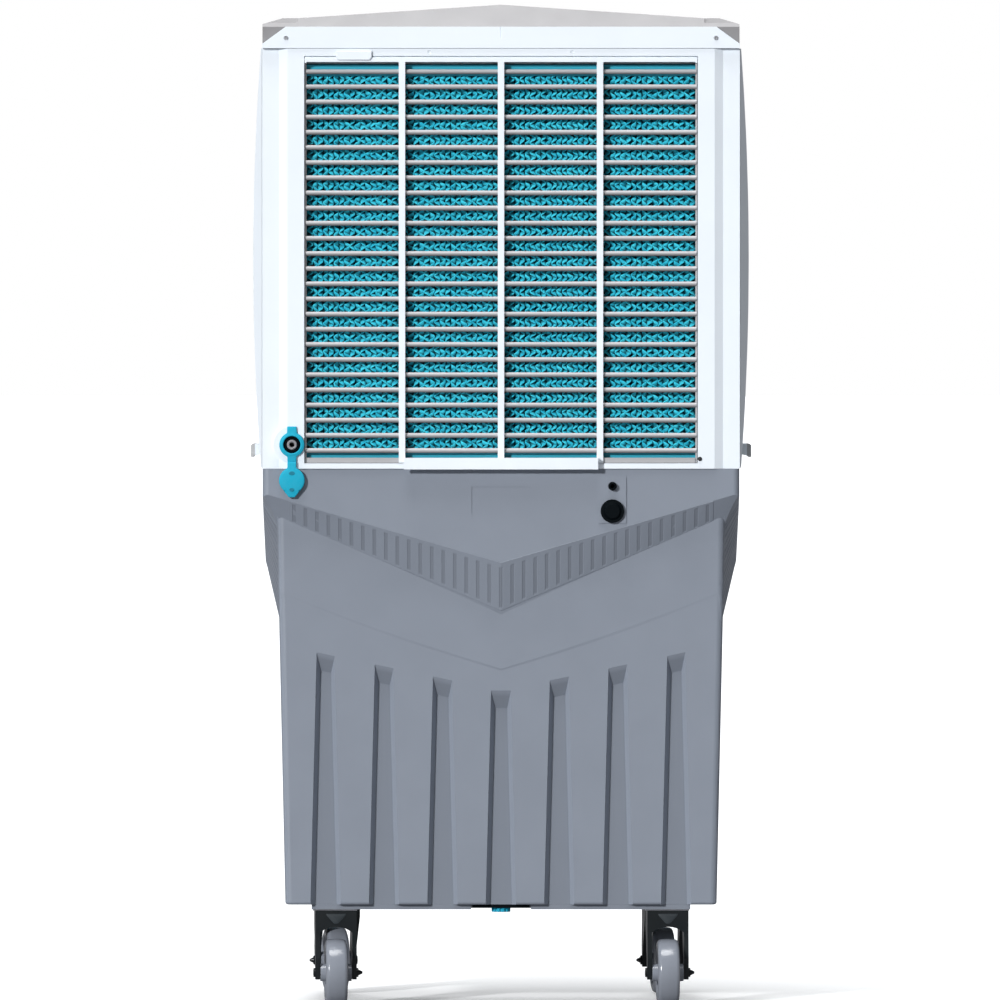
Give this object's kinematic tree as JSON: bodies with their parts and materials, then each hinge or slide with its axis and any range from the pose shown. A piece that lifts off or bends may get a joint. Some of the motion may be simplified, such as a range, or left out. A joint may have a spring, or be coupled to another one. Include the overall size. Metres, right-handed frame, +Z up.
{
  "type": "evaporative cooler",
  "caption": "Free-standing evaporative air cooler on casters, with a fluted grey water tank, a white body, slatted pad grilles, a fan and tilting louvres.",
  "frame": {"origin": "on the floor under the middle of the cooler's bounding box", "axes": "+Z up, +Y to the rear with its grille and water inlet, -Y to the air outlet, +X to the inlet's side"},
  "size_m": [0.7076, 0.504, 1.407],
  "materials": {
    "tank_plastic": "grey moulded polypropylene, fine satin texture",
    "white_plastic": "cool white moulded plastic, satin",
    "lid_plastic": "light grey moulded plastic, satin",
    "dark_plastic": "charcoal plastic",
    "black_plastic": "black plastic",
    "cooling_pad": "teal corrugated cellulose honeycomb",
    "teal_rubber": "teal soft rubber, matt",
    "grey_fitting": "grey plastic fitting",
    "clear_hose": "cloudy soft hose",
    "clear_plastic": "clear level window",
    "steel": "zinc plated steel",
    "motor_paint": "dark grey paint on cast metal",
    "louvre_plastic": "mid grey plastic",
    "fan_plastic": "dark grey glass-filled plastic",
    "float_plastic": "orange hollow float",
    "knob_plastic": "satin silver plastic",
    "fork_plastic": "black plastic fork on a steel axle",
    "wheel_plastic": "grey moulded wheel"
  },
  "bodies": {
    "cooler": {"tank": "tank_plastic", "base_frame": "tank_plastic", "drain_plug": "teal_rubber", "drain_seat": "black_plastic", "overflow_bung": "black_plastic", "cord_gland": "black_plastic", "rear_frame": "white_plastic", "rear_fascia": "white_plastic", "cover_screws": "steel", "front_panel": "white_plastic", "left_side_frame": "white_plastic", "right_side_frame": "white_plastic", "top_cover": "lid_plastic", "rear_pad": "cooling_pad", "left_pad": "cooling_pad", "right_pad": "cooling_pad", "water_distributor": "white_plastic", "pump_body": "black_plastic", "pump_hose": "clear_hose", "float_valve": "grey_fitting", "inlet_collar": "teal_rubber", "level_lens": "clear_plastic", "fan_shroud": "black_plastic", "motor_bracket": "steel", "fan_motor": "motor_paint", "louvre_frame": "louvre_plastic", "control_panel": "dark_plastic", "caster_plates": "steel"},
    "rear_grille": {"rear_grille": "white_plastic"},
    "left_grille": {"left_grille": "white_plastic"},
    "right_grille": {"right_grille": "white_plastic"},
    "fan_rotor": {"fan_rotor": "fan_plastic"},
    "pump_impeller": {"pump_impeller": "white_plastic"},
    "float_arm": {"float_arm": "float_plastic"},
    "level_float": {"level_float": "float_plastic"},
    "inlet_cap": {"inlet_cap": "teal_rubber"},
    "speed_knob": {"speed_knob": "knob_plastic"},
    "cooling_knob": {"cooling_knob": "knob_plastic"},
    "swing_knob": {"swing_knob": "knob_plastic"},
    "louvre_link": {"louvre_link": "louvre_plastic"},
    "swing_link": {"swing_link": "louvre_plastic"},
    "louvre_1": {"louvre_1": "louvre_plastic"},
    "louvre_2": {"louvre_2": "louvre_plastic"},
    "louvre_3": {"louvre_3": "louvre_plastic"},
    "louvre_4": {"louvre_4": "louvre_plastic"},
    "louvre_5": {"louvre_5": "louvre_plastic"},
    "swing_blade_1": {"swing_blade_1": "louvre_plastic"},
    "swing_blade_2": {"swing_blade_2": "louvre_plastic"},
    "swing_blade_3": {"swing_blade_3": "louvre_plastic"},
    "swing_blade_4": {"swing_blade_4": "louvre_plastic"},
    "rear_left_fork": {"rear_left_fork": "fork_plastic"},
    "rear_left_wheel": {"rear_left_wheel": "wheel_plastic"},
    "rear_right_fork": {"rear_right_fork": "fork_plastic"},
    "rear_right_wheel": {"rear_right_wheel": "wheel_plastic"},
    "front_left_fork": {"front_left_fork": "fork_plastic"},
    "front_left_wheel": {"front_left_wheel": "wheel_plastic"},
    "front_right_fork": {"front_right_fork": "fork_plastic"},
    "front_right_wheel": {"front_right_wheel": "wheel_plastic"},
    "front_left_brake_pedal": {"front_left_brake_pedal": "teal_rubber"},
    "front_right_brake_pedal": {"front_right_brake_pedal": "teal_rubber"}
  },
  "joints": [
    {"name": "rear_grille_swing", "type": "hinge", "parent": "cooler", "child": "rear_grille", "pos_m": [0, 0.234, 1.329], "axis": [1, 0, 0], "range_deg": [0, 30]},
    {"name": "left_grille_swing", "type": "hinge", "parent": "cooler", "child": "left_grille", "pos_m": [0.33307, 0, 1.329], "axis": [0, -1, 0], "range_deg": [0, 30]},
    {"name": "right_grille_swing", "type": "hinge", "parent": "cooler", "child": "right_grille", "pos_m": [-0.33307, 0, 1.329], "axis": [0, 1, 0], "range_deg": [0, 30]},
    {"name": "fan_spin", "type": "hinge", "parent": "cooler", "child": "fan_rotor", "pos_m": [0, -0.11, 1.078], "axis": [0, 1, 0], "continuous": true},
    {"name": "pump_spin", "type": "hinge", "parent": "cooler", "child": "pump_impeller", "pos_m": [-0.225, 0.105, 0.167], "axis": [0, 0, 1], "continuous": true},
    {"name": "float_arm_swing", "type": "hinge", "parent": "cooler", "child": "float_arm", "pos_m": [0.2928, 0.19, 0.742], "axis": [-1, 0, 0], "range_deg": [0, 28]},
    {"name": "level_float_slide", "type": "slide", "parent": "cooler", "child": "level_float", "axis": [0, 0, 1], "range_m": [0, 0.175]},
    {"name": "inlet_cap_swing", "type": "hinge", "parent": "cooler", "child": "inlet_cap", "pos_m": [0.2928, 0.23975, 0.765], "axis": [1, 0, 0], "range_deg": [0, 95]},
    {"name": "speed_knob_turn", "type": "hinge", "parent": "cooler", "child": "speed_knob", "pos_m": [-0.1, -0.245, 0.812], "axis": [0, -1, 0], "range_deg": [0, 270]},
    {"name": "cooling_knob_turn", "type": "hinge", "parent": "cooler", "child": "cooling_knob", "pos_m": [0, -0.245, 0.812], "axis": [0, -1, 0], "range_deg": [0, 90]},
    {"name": "swing_knob_turn", "type": "hinge", "parent": "cooler", "child": "swing_knob", "pos_m": [0.1, -0.245, 0.812], "axis": [0, -1, 0], "range_deg": [0, 90]},
    {"name": "louvre_3_tilt", "type": "hinge", "parent": "cooler", "child": "louvre_3", "pos_m": [0, -0.217, 1.082], "axis": [1, 0, 0], "range_deg": [-30, 30]},
    {"name": "louvre_1_tilt", "type": "hinge", "parent": "cooler", "child": "louvre_1", "pos_m": [0, -0.217, 0.914], "axis": [1, 0, 0], "range_deg": [-30, 30]},
    {"name": "louvre_2_tilt", "type": "hinge", "parent": "cooler", "child": "louvre_2", "pos_m": [0, -0.217, 0.998], "axis": [1, 0, 0], "range_deg": [-30, 30]},
    {"name": "louvre_4_tilt", "type": "hinge", "parent": "cooler", "child": "louvre_4", "pos_m": [0, -0.217, 1.166], "axis": [1, 0, 0], "range_deg": [-30, 30]},
    {"name": "louvre_5_tilt", "type": "hinge", "parent": "cooler", "child": "louvre_5", "pos_m": [0, -0.217, 1.25], "axis": [1, 0, 0], "range_deg": [-30, 30]},
    {"name": "louvre_link_pivot", "type": "hinge", "parent": "louvre_3", "child": "louvre_link", "pos_m": [0.209, -0.2, 1.082], "axis": [1, 0, 0], "range_deg": [-30, 30]},
    {"name": "swing_blade_2_turn", "type": "hinge", "parent": "cooler", "child": "swing_blade_2", "pos_m": [-0.052, -0.178, 1.082], "axis": [0, 0, 1], "range_deg": [-30, 30]},
    {"name": "swing_blade_1_turn", "type": "hinge", "parent": "cooler", "child": "swing_blade_1", "pos_m": [-0.156, -0.178, 1.082], "axis": [0, 0, 1], "range_deg": [-30, 30]},
    {"name": "swing_blade_3_turn", "type": "hinge", "parent": "cooler", "child": "swing_blade_3", "pos_m": [0.052, -0.178, 1.082], "axis": [0, 0, 1], "range_deg": [-30, 30]},
    {"name": "swing_blade_4_turn", "type": "hinge", "parent": "cooler", "child": "swing_blade_4", "pos_m": [0.156, -0.178, 1.082], "axis": [0, 0, 1], "range_deg": [-30, 30]},
    {"name": "swing_link_pivot", "type": "hinge", "parent": "swing_blade_2", "child": "swing_link", "pos_m": [-0.052, -0.1685, 1.284], "axis": [0, 0, 1], "range_deg": [-30, 30]},
    {"name": "rear_left_swivel", "type": "hinge", "parent": "cooler", "child": "rear_left_fork", "pos_m": [0.2335, 0.15, 0.134], "axis": [0, 0, 1], "continuous": true},
    {"name": "rear_left_roll", "type": "hinge", "parent": "rear_left_fork", "child": "rear_left_wheel", "pos_m": [0.23209, 0.17696, 0.0475], "axis": [0.9986, 0.0523, 0], "continuous": true},
    {"name": "rear_right_swivel", "type": "hinge", "parent": "cooler", "child": "rear_right_fork", "pos_m": [-0.2335, 0.15, 0.134], "axis": [0, 0, 1], "continuous": true},
    {"name": "rear_right_roll", "type": "hinge", "parent": "rear_right_fork", "child": "rear_right_wheel", "pos_m": [-0.23444, 0.17698, 0.0475], "axis": [0.9994, 0.0349, 0], "continuous": true},
    {"name": "front_left_swivel", "type": "hinge", "parent": "cooler", "child": "front_left_fork", "pos_m": [0.2335, -0.15, 0.134], "axis": [0, 0, 1], "continuous": true},
    {"name": "front_left_roll", "type": "hinge", "parent": "front_left_fork", "child": "front_left_wheel", "pos_m": [0.23772, -0.17667, 0.0475], "axis": [-0.9877, -0.1564, 0], "continuous": true},
    {"name": "front_left_brake", "type": "hinge", "parent": "front_left_fork", "child": "front_left_brake_pedal", "pos_m": [0.23976, -0.18951, 0.106], "axis": [0.9877, 0.1564, 0], "range_deg": [0, 16]},
    {"name": "front_right_swivel", "type": "hinge", "parent": "cooler", "child": "front_right_fork", "pos_m": [-0.2335, -0.15, 0.134], "axis": [0, 0, 1], "continuous": true},
    {"name": "front_right_roll", "type": "hinge", "parent": "front_right_fork", "child": "front_right_wheel", "pos_m": [-0.23162, -0.17693, 0.0475], "axis": [-0.9976, -0.0698, 0], "continuous": true},
    {"name": "front_right_brake", "type": "hinge", "parent": "front_right_fork", "child": "front_right_brake_pedal", "pos_m": [-0.23071, -0.1899, 0.106], "axis": [0.9976, 0.0698, 0], "range_deg": [0, 16]}
  ],
  "couplings": [
    {"joint": "louvre_1_tilt", "follows": "louvre_3_tilt", "ratio": 1},
    {"joint": "louvre_2_tilt", "follows": "louvre_3_tilt", "ratio": 1},
    {"joint": "louvre_4_tilt", "follows": "louvre_3_tilt", "ratio": 1},
    {"joint": "louvre_5_tilt", "follows": "louvre_3_tilt", "ratio": 1},
    {"joint": "louvre_link_pivot", "follows": "louvre_3_tilt", "ratio": -1},
    {"joint": "swing_blade_1_turn", "follows": "swing_blade_2_turn", "ratio": 1},
    {"joint": "swing_blade_3_turn", "follows": "swing_blade_2_turn", "ratio": 1},
    {"joint": "swing_blade_4_turn", "follows": "swing_blade_2_turn", "ratio": 1},
    {"joint": "swing_link_pivot", "follows": "swing_blade_2_turn", "ratio": -1}
  ]
}
